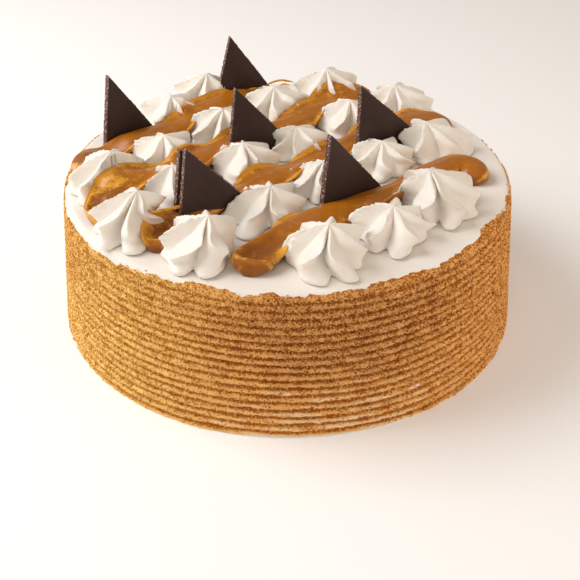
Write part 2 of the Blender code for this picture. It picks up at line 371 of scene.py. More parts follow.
def make_crumb():
    paint = Paint("crumb_coat", Roughness=0.85, Specular_IOR_Level=0.15)
    toast = paint.attribute("toast") + paint.noise(TOAST_PATCH, 3.0).sway(1.1)
    toast = paint.step(toast, 0.05, 0.95)
    golden = paint.attribute("golden")
    crest = paint.mix(toast, paint.mix(golden, CREST_TAN, CREST_GOLD), CREST_BROWN)
    groove = paint.mix(toast, paint.mix(golden, GROOVE_TAN, GROOVE_GOLD), GROOVE_BROWN)
    fine = paint.noise(FINE, 3.0)
    tone = paint.cells(CRUMB_CELL)
    depth = paint.attribute("groove") * 1.15 + fine.sway(1.2) + tone.sway(0.65) \
        + paint.noise(BLOTCH, 3.0).sway(0.7)
    body = paint.mix(paint.step(depth, 0.12, 0.88), crest, groove)
    body = paint.mix(paint.step(depth, -0.05, -0.65) * 0.75, body, CRUMB_PALE)
    body = paint.mix(paint.step(depth, 1.40, 1.90) * 0.35, body, CRUMB_DARK)
    # paler on bare crests: cream showing through, plus a painted highlight
    bare = paint.attribute("bare") + fine.sway(0.8) + tone.sway(0.2)
    body = paint.mix(paint.step(bare, 0.25, 0.65) * 0.75, body, CRUMB_THIN_AND_LIT)
    cover = paint.attribute("cover")
    ragged = cover * 2.0 - 0.5 + fine.sway(1.2) + tone.sway(0.5)
    # bare cream, in the tone with painted shade, where there is no coat
    colour = paint.mix(paint.step(ragged, 0.46, 0.54), CREAM_SPREAD_SHADED, body)
    lumpy = paint.bump(fine * cover, FINE_DEPTH, 0.7)
    crumbly = paint.cells(CRUMB_CELL, out="Distance") * cover
    relief = paint.bump(crumbly, CRUMB_DEPTH, 0.8, under=lumpy)
    return paint.finish(Base_Color=colour, Normal=relief)


def make_dark_crumb():
    paint = Paint("dark_crumb", Roughness=0.8, Specular_IOR_Level=0.15)
    colour = paint.mix(paint.cells(BURNT_CELL), CRUMB_DARK, GROOVE_BROWN)
    relief = paint.bump(paint.noise(BURNT_GRAIN), BURNT_DEPTH, 0.6)
    return paint.finish(Base_Color=colour, Normal=relief)


crumb = make_crumb()
dark_crumb = make_dark_crumb()
print("made", crumb.name, "and", dark_crumb.name)

# %% [markdown]
# ## Modelling helpers
# Operators act on whatever is selected, and loading the frame left its nodes selected, so every
# piece starts from an empty selection. A finished piece keeps its object at the origin and its
# place in its mesh. seal merges doubles and turns the faces outwards, carry stores numbers for the
# materials, and hand_over names a piece, gives it its material, hangs it on the root body and hides
# the construction nodes that it stands for.

# %% Modelling helpers


def nothing_selected():
    if bpy.context.object and bpy.context.object.mode != "OBJECT":
        bpy.ops.object.mode_set(mode="OBJECT")
    bpy.ops.object.select_all(action="DESELECT")


def edit():
    bpy.ops.object.mode_set(mode="EDIT")
    bpy.ops.mesh.select_all(action="SELECT")


def done():
    bpy.ops.object.mode_set(mode="OBJECT")
    return bpy.context.object


def seal(near=0.0):
    """Merge vertices nearer than that, turn all faces outwards and leave edit mode."""
    bpy.ops.mesh.select_all(action="SELECT")
    if near:
        bpy.ops.mesh.remove_doubles(threshold=near)
    bpy.ops.mesh.normals_make_consistent(inside=False)
    return done()


def places_of(piece):
    """Every vertex place as rows of x, y, z."""
    flat = np.empty(len(piece.data.vertices) * 3)
    piece.data.vertices.foreach_get("co", flat)
    return flat.reshape(-1, 3)


def put_places(piece, places):
    piece.data.vertices.foreach_set("co", np.asarray(places, float).ravel())
    piece.data.update()


def carry(piece, **numbers):
    """Store numbers by name, one of each at each point, for the material to read."""
    for name, values in numbers.items():
        layer = piece.data.attributes.new(name, "FLOAT", "POINT")
        layer.data.foreach_set("value", np.asarray(values, float).ravel())


def weigh(piece, name, weights):
    """Store the numbers as a vertex group, for a modifier's strength."""
    group = piece.vertex_groups.new(name=name)
    for index, weight in enumerate(weights):
        if weight > 0:
            group.add([index], float(weight), "REPLACE")


def modify(piece, kind, **settings):
    """Add a modifier with its settings and apply it at once."""
    bpy.context.view_layer.objects.active = piece
    modifier = piece.modifiers.new(kind.lower(), kind)
    for key, value in settings.items():
        setattr(modifier, key, value)
    bpy.ops.object.modifier_apply(modifier=modifier.name)


def lumps(name, size):
    """A cloudy texture for Displace, with lumps of that size in metres."""
    texture = bpy.data.textures.new(name, "CLOUDS")
    texture.noise_scale = size
    texture.noise_depth = 1
    return texture


def displace(piece, texture, strength, group):
    """Push the surface in and out by the texture where the vertex group lets it."""
    modify(piece, "DISPLACE", texture=texture, texture_coords="LOCAL", strength=strength,
           vertex_group=group)


def hand_over(piece, name, material, slot, *nodes):
    piece.name = name
    piece.data.name = name
    piece.data.materials.clear()
    piece.data.materials.append(material)
    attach(piece, "root")
    if nodes:
        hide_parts(*nodes)
    print(name, "has", len(piece.data.polygons), "faces")


bpy.ops.object.select_all(action="DESELECT")
print("modelling helpers are ready")

# %% [markdown]
# ## The floor
# The floor is a plain pale sheet. A faint glow of its own keeps it pale where the lights fall off.

# %% The floor
FLOOR_SIZE = 16.0
FLOOR_PATCH = 0.4

bpy.ops.mesh.primitive_plane_add(size=FLOOR_SIZE)
floor = bpy.context.object
floor.name = "floor"
floor_paint = Paint("pale_floor", Roughness=0.75, Emission_Color=(1, 0.99, 0.98, 1), Emission_Strength=0.12)
floor_tone = floor_paint.mix(floor_paint.noise(FLOOR_PATCH), (0.93, 0.94, 0.95), (0.95, 0.96, 0.97))
floor.data.materials.append(floor_paint.finish(Base_Color=floor_tone))
print("floor:", FLOOR_SIZE, "m square")

# %% [markdown]
# ## The drum
# The cake body is a solid of revolution, so we draw half of its outline as a chain of vertices,
# extruded one after another, and spin that chain once round the axis. The spin leaves doubles
# along its seam and on the axis; we merge them and point all faces outwards. The comb's ridges
# and the uneven crumb edge are then moved into the dense mesh by a formula, because they wander
# round the cake in a way that no spin can give.

# %% Drum sizes
BODY_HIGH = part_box("cake_body")[1]
BASE_RADIUS = BODY_HIGH.x
TOP = BODY_HIGH.z
TOP_RADIUS = 113 * MM
RIM_ROUND = 3 * MM
RIM_RADIUS = TOP_RADIUS - RIM_ROUND   # where the soft rim meets the flat top
SIDE_TOP = TOP - RIM_ROUND            # where the side ends and the soft rim begins
RIDGE_PITCH = 4.0 * MM
FIRST_CREST = 4.75 * MM
RIDGE_DEPTH = 1.5 * MM
GROOVE_SHARP = 1.5                    # above 1 the crests are broader than the grooves
WORN_FROM, WORN_RUN = 44, 26          # height in mm where the comb's bite fades, and over how much
CRUMB_LAYER = 0.6 * MM                # the coat stands proud of the bare cream
CRUMB_RELIEF = 0.9 * MM
COAT_SOFT = 1.8 * MM                  # how softly the coat ends at the top
FOOT_LINE = 1.4 * MM                  # height of the bare cream line along the foot
FOOT_SOFT = 0.5 * MM
BARE_HEIGHT = 45 * MM                 # up to about here crests may be bare
SCRAPE_ANGLE, SCRAPE_WIDTH = -60.0, 2.2   # where the one scraped spot lies, in degrees
SCRAPE_HEIGHT, SCRAPE_RISE, SCRAPE_BEND = 16.6 * MM, 0.75 * MM, 0.4 * MM
SPIN_STEPS = 520
SIDE_STEP = 0.5 * MM
RIM_STEPS = 8
FOOT_RINGS = 60 * MM, BASE_RADIUS - 1.5 * MM           # radii of the rings underneath
TOP_RINGS = 109, 108, 107, 106, 105, 104, 102, 100, 92, 70, 35, 0   # and on top, in mm
MERGE = 0.01 * MM                     # points nearer than this are one
TINY = 1e-6                           # keeps divisions away from zero

# how far the crumb coat reaches past the top of the side, in mm, read round the cake:
# azimuth in degrees (-90 is the front), reach (below 0 it ends short of the rim)
CRUMB_EDGE = (
    (-180, 4.2), (-174, 2.5), (-169, -3.2), (-160, -2.2), (-150, -0.2), (-140, -1.8),
    (-130, 0.6), (-120, 1.8), (-110, 4.7), (-100, 2.4), (-94, 3.7), (-90, 2.2), (-82, 3.6),
    (-75, 2.7), (-70, 6.0), (-60, 4.8), (-50, 4.2), (-40, 5.4), (-30, 7.2), (-20, 3.4),
    (0, 2.0), (20, 0.4), (40, -0.6), (90, 0.8), (130, -0.4), (165, 2.6), (180, 4.2),
)
# small bites along that edge: depth in mm, how many round the cake, start
CRUMB_BITES = ((0.6, 23, 1), (0.5, 41, 0), (0.35, 77, 2), (0.3, 131, 1))
# how brown the coat is at some heights in mm
TOAST_HEIGHTS = (0, 20, 46, 62, 70, 75), (0.22, 0.40, 0.85, 0.95, 0.75, 0.45)
print("base radius", round(BASE_RADIUS / MM, 1), "mm, top at", round(TOP / MM, 1), "mm")

# %% The outline as rules


def clamp(value, low=0, high=1):
    return np.clip(value, low, high)


def hump(value, middle, width, power=2):
    """1 in the middle and falling to 0 on both sides of it."""
    return np.exp(-((value - middle) / width) ** power)


def waves(place, *rows):
    """A sum of sines; a row holds the height of one, how fast it turns and where it starts."""
    return sum(height * np.sin(turns * place + start) for height, turns, start in rows)


def out_of_round(angle):
    """How far the drum falls short of a true circle; nobody spreads cream perfectly."""
    return 0.35 * MM * np.sin(3 * angle + 1)


def side_radius(z):
    return BASE_RADIUS + (TOP_RADIUS - BASE_RADIUS) * clamp(z, 0, TOP) / TOP


def past_side(radius, z):
    """How far along the outline a place lies past the top of the side."""
    bend = np.arctan2(z - SIDE_TOP, radius - RIM_RADIUS)
    on_rim = clamp(bend, 0, math.pi / 2) * RIM_ROUND
    inward = np.maximum(RIM_RADIUS - radius, 0)
    return np.where(z < SIDE_TOP, z - SIDE_TOP, on_rim + inward)


def crumb_reach(angle):
    """The read-off crumb edge at an angle, with small bites."""
    marks = np.array(CRUMB_EDGE)
    reach = np.interp(np.degrees(angle), marks[:, 0], marks[:, 1]) * MM
    return reach + waves(angle, *CRUMB_BITES) * MM


def bare_foot(angle):
    """Height of the thin line of bare cream along the foot, at the front only."""
    return FOOT_LINE * hump(np.degrees(angle), -85, 24, power=4)


def unscraped(angle, z):
    """0 in the one small spot, low on the right, where the coat was scraped off; 1 elsewhere."""
    across = (np.degrees(angle) - SCRAPE_ANGLE) / SCRAPE_WIDTH
    up = (z - SCRAPE_HEIGHT - SCRAPE_BEND * np.sin(7 * across)) / SCRAPE_RISE
    return clamp(across ** 2 + up ** 2 - 0.2)


def crumb_cover(angle, radius, z):
    """1 inside the crumb coat and 0 on bare cream: past the edge on top, at the foot, in the spot."""
    inside = crumb_reach(angle) - past_side(radius, z)
    above_foot = clamp((z - bare_foot(angle)) / FOOT_SOFT + 1)
    return clamp(inside / COAT_SOFT + 0.5) * above_foot * unscraped(angle, z)


def groove_at(angle, z):
    """0 on a crest and 1 in a groove of the comb, whose lines wander a little."""
    high = z / MM
    wander = waves(angle, (0.45, 2, 0.6), (0.30, 5, high * 0.05), (0.18, 13, high * 0.7),
                   (0.14, 29, -high * 0.9), (0.10, 61, high * 1.7))
    turns = (z - FIRST_CREST + wander * MM) / RIDGE_PITCH
    return (0.5 - 0.5 * np.cos(2 * math.pi * turns)) ** GROOVE_SHARP


def comb_strength(angle, z):
    """The comb bit less where many crumbs cling: high up, and most of all at the left."""
    left = clamp(np.cos(angle + math.radians(150)))
    far_left = clamp((-np.cos(angle) - 0.72) / 0.2)
    worn = clamp((z / MM - WORN_FROM + 10 * (1 - left) + 26 * far_left) / WORN_RUN)
    uneven = 0.85 + 0.15 * np.sin(9 * angle + z / MM * 0.11)
    return (1 - worn * (0.30 + 0.50 * left)) * uneven


def golden_at(angle):
    """1 for the golden crumbs of the left half, 0 for the more orange ones of the right."""
    return clamp((-np.cos(angle) - 0.12) / 0.5)


def toast_at(angle, z):
    """1 where the coat is browned most: broad patches in front and behind, paler at foot and rim."""
    degrees = np.degrees(angle)
    patches = 1.06 * hump(degrees, -77, 32) + 0.7 * hump(degrees, 75, 35)
    return patches * np.interp(z / MM, *TOAST_HEIGHTS)


def bare_and_lit_crest(angle, z):
    """1 where the comb left little crumb on the crests, also painted as a highlight: low down, most of all
    at the front.
    """
    front = 0.25 + 0.85 * hump(np.degrees(angle), -80, 30)
    streaks = 0.6 + 0.4 * np.sin(7 * angle + z / MM * 0.4) * np.sin(19 * angle + z / MM * 0.9)
    return front * streaks * clamp(1.15 - z / BARE_HEIGHT)


print("ridges:", int((SIDE_TOP - FIRST_CREST) / RIDGE_PITCH) + 1)

# %% Spin the drum


def drum_outline():
    """Half outline from the axis underneath, up the side and back to the axis on top."""
    points = [(radius, 0) for radius in (0, *FOOT_RINGS)]
    levels = int(round(SIDE_TOP / SIDE_STEP))
    for i in range(1, levels + 1):
        z = SIDE_TOP * i / levels
        points.append((float(side_radius(z)), z))
    for i in range(1, RIM_STEPS + 1):
        bend = math.pi / 2 * i / RIM_STEPS
        points.append((RIM_RADIUS + RIM_ROUND * math.cos(bend), SIDE_TOP + RIM_ROUND * math.sin(bend)))
    return points + [(radius * MM, TOP) for radius in TOP_RINGS]


def spin_outline(points, steps):
    """Chain the points by extruding, then turn the chain once round the Z axis."""
    nothing_selected()
    bpy.ops.mesh.primitive_plane_add(size=MM)
    edit()
    bpy.ops.mesh.merge(type="CENTER")
    bpy.ops.transform.translate(value=(points[0][0], 0, points[0][1]))
    for (r0, z0), (r1, z1) in zip(points, points[1:]):
        bpy.ops.mesh.extrude_vertices_move(TRANSFORM_OT_translate={"value": (r1 - r0, 0, z1 - z0)})
    bpy.ops.mesh.select_all(action="SELECT")
    bpy.ops.mesh.spin(steps=steps, angle=2 * math.pi, center=(0, 0, 0), axis=(0, 0, 1))
    return seal(MERGE)


def shape_drum(drum):
    """Press the comb's grooves in, raise the crumb coat and let the top be uneven."""
    places = places_of(drum)
    angle = np.arctan2(places[:, 1], places[:, 0])
    radius = np.hypot(places[:, 0], places[:, 1])
    z = places[:, 2]                       # a view, so it follows when the top is lowered
    cover = crumb_cover(angle, radius, z)
    groove = groove_at(angle, z)
    on_side = (z < SIDE_TOP + RIM_ROUND * 0.5) & (radius > RIM_RADIUS)
    rise = clamp(z / (2 * MM))
    push = np.where(on_side, groove * comb_strength(angle, z) * RIDGE_DEPTH * rise, 0)
    push += (1 - cover) * CRUMB_LAYER * rise
    push += out_of_round(angle) * rise
    push *= np.cos(clamp(np.arctan2(z - SIDE_TOP, np.maximum(radius - RIM_RADIUS, 0)), 0, math.pi / 2))
    scale = np.where(radius > TINY, (radius - push) / np.maximum(radius, TINY), 1)
    flat_top = z > TOP - MERGE
    places[:, :2] *= np.where(flat_top, 1, scale)[:, None]
    knife = 0.3 * np.sin(places[:, 0] * 61 + 1) * np.sin(places[:, 1] * 47) - 0.35
    places[:, 2] += np.where(flat_top, knife * clamp((RIM_RADIUS - radius) / (12 * MM)) * MM, 0)
    put_places(drum, places)
    strength = comb_strength(angle, z)
    # bare marks the bare crests, which are also painted paler as a highlight
    carry(drum, groove=groove * strength + 0.4 * (1 - strength),
          bare=bare_and_lit_crest(angle, z) * (1 - groove) ** GROOVE_SHARP,
          cover=cover, golden=golden_at(angle), toast=toast_at(angle, z))
    return cover


def roughen_drum(drum, cover):
    """Crumb grain as real relief: two sizes of lump, only where the coat lies."""
    weigh(drum, "crumb", cover)
    for name, size in (("coarse_grain", 2.4 * MM), ("fine_grain", 1.0 * MM)):
        displace(drum, lumps(name, size), CRUMB_RELIEF, "crumb")


drum = spin_outline(drum_outline(), SPIN_STEPS)
roughen_drum(drum, shape_drum(drum))
bpy.ops.object.shade_smooth()
hand_over(drum, "combed_body", crumb, "crumb_coat", "cake_body")

# %% [markdown]
# ## Rosettes
# A rosette leaves the star nozzle as a bundle of lobes: it spreads over the cake in a low tier of
# round toes, swells above them and is drawn up to a point. We start from a circle with four
# vertices for each lobe, extrude it upwards ring by ring, and turn and scale each ring. Then the
# grooves are pressed in, their edges are creased so that Subdivision Surface keeps them sharp,
# and the crests near the tip get the ragged edge that whipped cream tears into.

# %% Rosette sizes
CORNERS = 4                            # vertices for each lobe: groove, flank, crest, flank
# one ring of the stack: share of the height; then shares of the radius: the crest, the full flank
# before it, the hollow flank after it, and the groove
TIERS = (
    (0.00, 0.92, 0.86, 0.80, 0.72),
    (0.05, 0.99, 0.93, 0.86, 0.77),
    (0.12, 1.00, 0.93, 0.85, 0.76),
    (0.20, 0.98, 0.89, 0.80, 0.70),
    (0.30, 1.03, 0.90, 0.77, 0.64),
    (0.42, 1.12, 0.88, 0.71, 0.57),
    (0.56, 1.03, 0.76, 0.59, 0.46),
    (0.70, 0.82, 0.58, 0.44, 0.33),
    (0.83, 0.52, 0.39, 0.29, 0.21),
    (0.93, 0.24, 0.19, 0.14, 0.10),
)
LEVELS = np.array([tier[0] for tier in TIERS])
BRIM = 5                               # the ring where the lobes reach furthest
HEIGHTS = (0.1, 0.43, 0.68, 0.92)      # where the directions hold: toe, brim, shoulder, tip
SWING = 0.5                            # how far the shoulder swings past the tip's direction
GROOVE_AT = 0.46                       # a groove's place between the crests beside it
FLANK_AT = 0.42                        # the full flank's place between the groove and the crest
FOLD_FLANK_AT = 0.30                   # the same beside the fold, which that flank presses shut
FOLD = 2                               # the lobe whose groove closed to a sharp fold
LEAN_CURVE = 1.5                       # the lean grows faster towards the tip
WIDEST_GAP = 58.0                      # degrees between lobes in the part that isn't seen
# how much the lobes of a rosette differ in reach, fullness, lift of the brim and pinch of the waist
VARIETY = (0.96, 1.05), (-0.06, 0.08), (-0.10, 0.06), (0.4, 1.2)
# shares of the height, and how much each of these counts there
TOE_COUNTS = (0.12, 0.30, 0.45), (1, 0.5, 0)
FULL_COUNTS = (0.42, 0.60, 0.75, 0.93), (0, 1, 1, 0)
WAIST_COUNTS = (0.12, 0.24, 0.34, 0.45), (0, 1, 0.8, 0)
PEAK_COUNTS = (0.50, 0.75, 0.85, 0.93), (0, 0.7, 1, 0.3)
SUNK = 0.2 * MM                        # how deep a rosette's foot sits in the top
# name, x, y, radius, height, lean x, lean y in mm, the peak of the first lobe and the waist over
# the toes as shares, then for each lobe that the picture shows the direction of its crest in
# degrees at the toe, at the brim and at the tip and, where it isn't 1, how far its toe and then its
# brim reaches as a share of the usual. The first lobe is the one that the nozzle left last.
ROSETTES = (
    ("a1", 15.5, -84, 19.0, 19.0, 2.5, 0.0, 0.04, 0.2,
     ((-170, -172, -176, 0.90), (-96, -126, -106, 1.22), (-50, -64, -82, 1.27), (-24, -14, -24, 0.98))),
    ("a2", 48, -62, 19.5, 15.0, 0.0, 0.0, 0.24, 0.8,
     ((-172, -181, -184, 0.98), (-120, -132, -118, 1.06), (-84, -54, -66, 1.22), (-14, -2, -16, 0.90))),
    ("a3", 73.5, -38, 20.5, 21.0, -6.5, 0.0, 0.04, 0.8,
     ((-184, -190, -176, 0.94), (-112, -126, -102, 1.00), (-82, -54, -76, 1.14), (-26, -8, -14, 0.96))),
    ("b1", -41, -80, 18.5, 20.5, 6.0, 0.0, 0.13, 0.9,
     ((-170, -178, -171, 0.92), (-112, -132, -98, 1.08), (-66, -36, -64, 1.20), (28, 36, 40))),
    ("b2", -10, -44, 18.5, 15.5, 1.7, 0.0, 0.15, 0.3,
     ((-158, -166, -171, 1.35), (-116, -118, -102, 1.5), (-48, -56, -78, 1.08), (8, 10, 4, 0.95))),
    ("b3", 12, -18, 17.0, 15.0, 5.4, 0.0, 0.05, 0.3,
     ((-184, -186, -190), (-122, -138, -122, 1.10), (-74, -66, -86, 1.12), (-20, -14, -30))),
    ("b4", 48, 5, 17.5, 14.5, 0.0, 0.0, 0.18, 0.5,
     ((-180, -182, -184), (-134, -150, -136, 1.05), (-96, -74, -88, 1.15),
      (-40, -22, -38), (10, 12, 8))),
    ("b5", 80, 22, 19.0, 17.5, -8.0, 0.0, 0.02, 0.3,
     ((-180, -182, -180), (-114, -132, -120, 1.12), (-68, -40, -52, 1.10), (0, 12, 5, 1.05))),
    ("c1", -73, -59, 19.5, 21.0, 4.5, 1.0, 0.10, 1.1,
     ((-172, -184, -174, 0.92), (-122, -134, -118, 1.12), (-76, -86, -92, 1.24),
      (-12, 4, -44, 0.88, 0.76))),
    ("c2", -56, -26, 17.0, 17.0, 0.0, 0.0, 0.06, 0.3,
     ((-154, -156, -150, 1.2), (-84, -80, -84, 1.1), (-50, -40, -52, 1.05), (-4, 4, -8))),
    ("c3", -22, 0, 17.5, 16.0, -1.0, 0.0, 0.08, 0.3,
     ((-176, -170, -164), (-102, -98, -84, 1.1), (-58, -38, -48, 1.05), (0, 6, 0))),
    ("c4", 8, 20, 16.5, 16.0, -4.0, 0.0, 0.08, 0.4,
     ((-180, -186, -178), (-138, -152, -138, 1.05), (-100, -90, -100, 1.1),
      (-46, -32, -46), (5, 10, 5))),
    ("c5", 32, 50, 17.0, 17.0, 2.0, 0.0, 0.06, 0.3,
     ((-184, -188, -184), (-102, -118, -104, 1.1), (-60, -42, -52, 1.05), (0, 4, 0))),
    ("c6", 66, 74, 18.0, 15.5, -5.7, 0.0, 0.0, 0.3,
     ((-180, -184, -180), (-130, -144, -130, 1.05), (-92, -74, -84, 1.1), (-20, -6, -14))),
    ("d1", -90, -20.5, 18.5, 20.0, 3.5, 4.0, 0.02, 0.6,
     ((-168, -158, -162, 1.08), (-114, -130, -112, 1.12), (-88, -72, -78), (-38, -20, -30))),
    ("d2", -64, 10, 18.5, 15.4, 0.0, 0.0, 0.08, 0.3,
     ((-188, -192, -188), (-110, -126, -112, 1.1), (-62, -46, -56, 1.05), (0, 4, 0))),
    ("d3", -38, 40, 18.0, 17.0, 3.0, 0.0, 0.08, 0.3,
     ((-188, -192, -186), (-122, -138, -124, 1.08), (-90, -78, -86, 1.1), (-40, -24, -36))),
    ("d4", -6, 70, 19.0, 15.5, -2.0, 0.0, 0.05, 0.3,
     ((-184, -188, -184), (-128, -142, -128, 1.05), (-94, -82, -92, 1.1),
      (-38, -20, -32), (18, 22, 18))),
    ("d5", 24, 91, 19.5, 18.0, -2.0, 0.0, 0.02, 0.3,
     ((-180, -184, -180), (-118, -128, -116, 1.05), (-80, -66, -76, 1.05), (-30, -16, -26))),
    ("e1", -65, 61, 17.5, 15.5, 0.0, -1.0, 0.02, 0.3,
     ((-185, -189, -185), (-104, -114, -102, 1.05), (-58, -40, -52, 1.05), (0, 4, 0))),
    ("e2", -51, 88, 16.0, 16.0, 4.0, 0.0, 0.02, 0.3,
     ((-180, -184, -180), (-126, -140, -126, 1.05), (-84, -70, -80, 1.05), (-22, -12, -20))),
)
RAG, RAG_HEIGHT = lumps("torn_crest", 1.5 * MM), 2.0 * MM
SWELL, SWELL_HEIGHT = lumps("soft_swell", 12 * MM), 1.5 * MM
print("rosettes to pipe:", len(ROSETTES))

# %% Pipe the rosettes


def all_crests(seen):
    """Toe, brim and tip directions of all lobes, seen or not, and how far their toes and brims reach."""
    ways = np.array([lobe[:3] for lobe in seen], float)
    gap = (ways[0] - ways[-1]) % 360
    more = max(0, math.ceil(gap[1] / WIDEST_GAP) - 1)
    hidden = [ways[-1] + gap * (i + 1) / (more + 1) for i in range(more)]
    toes, brims = [[(*lobe, 1.0, 1.0)[k] for lobe in seen] + [1.0] * more for k in (3, 4)]
    return np.radians(np.vstack([ways] + hidden)), np.array(toes), np.array(brims)


def stack_rings(lobes, radius, height):
    """A filled circle, extruded ring by ring and merged to a tip."""
    nothing_selected()
    bpy.ops.mesh.primitive_circle_add(vertices=CORNERS * lobes, radius=radius * TIERS[0][1],
                                      fill_type="NGON")
    edit()
    for low, high in zip(TIERS, TIERS[1:]):
        bpy.ops.mesh.extrude_region_move(
            TRANSFORM_OT_translate={"value": (0, 0, (high[0] - low[0]) * height)})
        bpy.ops.transform.resize(value=(high[1] / low[1], high[1] / low[1], 1),
                                 center_override=(0, 0, high[0] * height))
    bpy.ops.mesh.extrude_region_move(
        TRANSFORM_OT_translate={"value": (0, 0, (1 - TIERS[-1][0]) * height)})
    bpy.ops.mesh.merge(type="CENTER")
    return seal()


def roles_of(piece, lobes, height):
    """For every vertex: its ring, its lobe and whether it is groove 0, flank 1, crest 2 or flank 3."""
    places = places_of(piece)
    share = places[:, 2] / height
    ring = np.abs(share[:, None] - LEVELS).argmin(1)
    tip = share > (1 + LEVELS[-1]) / 2
    corner = 2 * math.pi / (CORNERS * lobes)
    around = np.rint(np.arctan2(places[:, 1], places[:, 0]) / corner).astype(int)
    around %= CORNERS * lobes
    return ring, around // CORNERS, around % CORNERS, tip


def crest_ways(crests):
    """For each role, lobe and ring the direction in which its vertex lies."""
    ways = np.array([np.interp(LEVELS, HEIGHTS, (toe, brim, tip + SWING * (tip - brim), tip))
                     for toe, brim, tip in crests])
    turn = 2 * math.pi
    before = np.vstack([ways[-1:] - turn, ways[:-1]])
    after = np.vstack([ways[1:], ways[:1] + turn])
    groove = before + (ways - before) * GROOVE_AT
    next_groove = ways + (after - ways) * GROOVE_AT
    near = np.full((len(ways), 1), FLANK_AT)
    near[FOLD] = FOLD_FLANK_AT
    return np.stack([groove, groove + (ways - groove) * near, ways, (ways + next_groove) / 2])


def shape_lobes(piece, crests, toes, brims, radius, height, lean, peak, waist, pick):
    """Lead each crest along its directions, press the grooves in and let no two lobes be alike."""
    ring, lobe, role, tip = roles_of(piece, len(crests), height)
    share = LEVELS[ring]
    reach, full, lift, pinch = np.array([[pick.uniform(*span) for span in VARIETY] for _ in crests]).T
    reach *= brims
    way = crest_ways(crests)[role, lobe, ring]
    size = np.array(TIERS)[ring, np.array([4, 2, 1, 3])[role]] * radius
    low = np.interp(share, *TOE_COUNTS)
    grow = (1 + (toes[lobe] - 1) * low) * (reach[lobe] + (1 - reach[lobe]) * low)
    grow *= 1 + full[lobe] * np.interp(share, *FULL_COUNTS)
    size *= np.where(role == 0, 1 + (grow - 1) * 0.3, grow)
    size *= 1 - 0.15 * waist * pinch[lobe] * np.interp(share, *WAIST_COUNTS)
    # the fold's groove is deeper and the flanks on both sides of it are fuller
    size *= np.where(lobe == FOLD, np.array([0.80, 1.07, 1, 1])[role], 1)
    size *= np.where((role == 3) & (lobe == FOLD - 1), 1.12, 1)
    z = share + np.where((role == 0) | (ring < BRIM - 1), 0, lift[lobe] * (1 - share) * 1.4)
    last = (lobe == 0) & (role == 2)
    z += peak * np.interp(share, *PEAK_COUNTS) * last
    z *= height
    drift = clamp(z / height) ** LEAN_CURVE
    places = np.stack([size * np.cos(way) + lean[0] * drift, size * np.sin(way) + lean[1] * drift, z], 1)
    places[tip] = (lean[0], lean[1], height)
    put_places(piece, places)
    return ring, lobe, role, tip


def crease_edges(piece, ring, lobe, role, tip):
    """One sharp fold, softer grooves beside it and crests that sharpen towards the tip."""
    layer = piece.data.attributes.new("crease_edge", "FLOAT", "EDGE")
    for edge in piece.data.edges:
        a, b = edge.vertices
        low = min(ring[a], ring[b])
        along = role[a] == role[b] and ring[a] != ring[b]
        if tip[a] or tip[b]:
            sharp = 0.5
        elif along and role[a] == 0:
            sharp = (1.0 if lobe[a] == FOLD else 0.4) if low >= BRIM - 2 else 0.3
        elif along and role[a] == 2:
            sharp = (0.3, 0.55, 0.9)[min(2, max(0, low - BRIM + 1))]
        else:
            sharp = 0.0
        layer.data[edge.index].value = sharp


def pipe_rosette(seed, name, x, y, radius, height, lean_x, lean_y, peak, waist, seen):
    radius, height = radius * MM, height * MM
    crests, toes, brims = all_crests(seen)
    piece = stack_rings(len(crests), radius, height)
    ring, lobe, role, tip = shape_lobes(piece, crests, toes, brims, radius, height,
                                        (lean_x * MM, lean_y * MM), peak, waist, random.Random(seed))
    crease_edges(piece, ring, lobe, role, tip)
    torn = clamp(-np.cos(crests[:, 1])) * 0.8 + 0.15
    weigh(piece, "crest", (role == 2) * (ring >= BRIM) * ~tip * torn[lobe])
    weigh(piece, "flank", (ring > 0) * 1.0)
    modify(piece, "SUBSURF", levels=3, render_levels=3)
    put_places(piece, places_of(piece) + np.array([x * MM, y * MM, TOP - SUNK]))
    displace(piece, SWELL, SWELL_HEIGHT, "flank")
    displace(piece, RAG, RAG_HEIGHT, "crest")
    bpy.ops.object.shade_smooth()
    hand_over(piece, "rosette_" + name, cream, "whipped_cream", "cream_rosette_" + name)
    return piece


rosettes = [pipe_rosette(seed, *row) for seed, row in enumerate(ROSETTES)]
print("piped", len(rosettes), "rosettes")
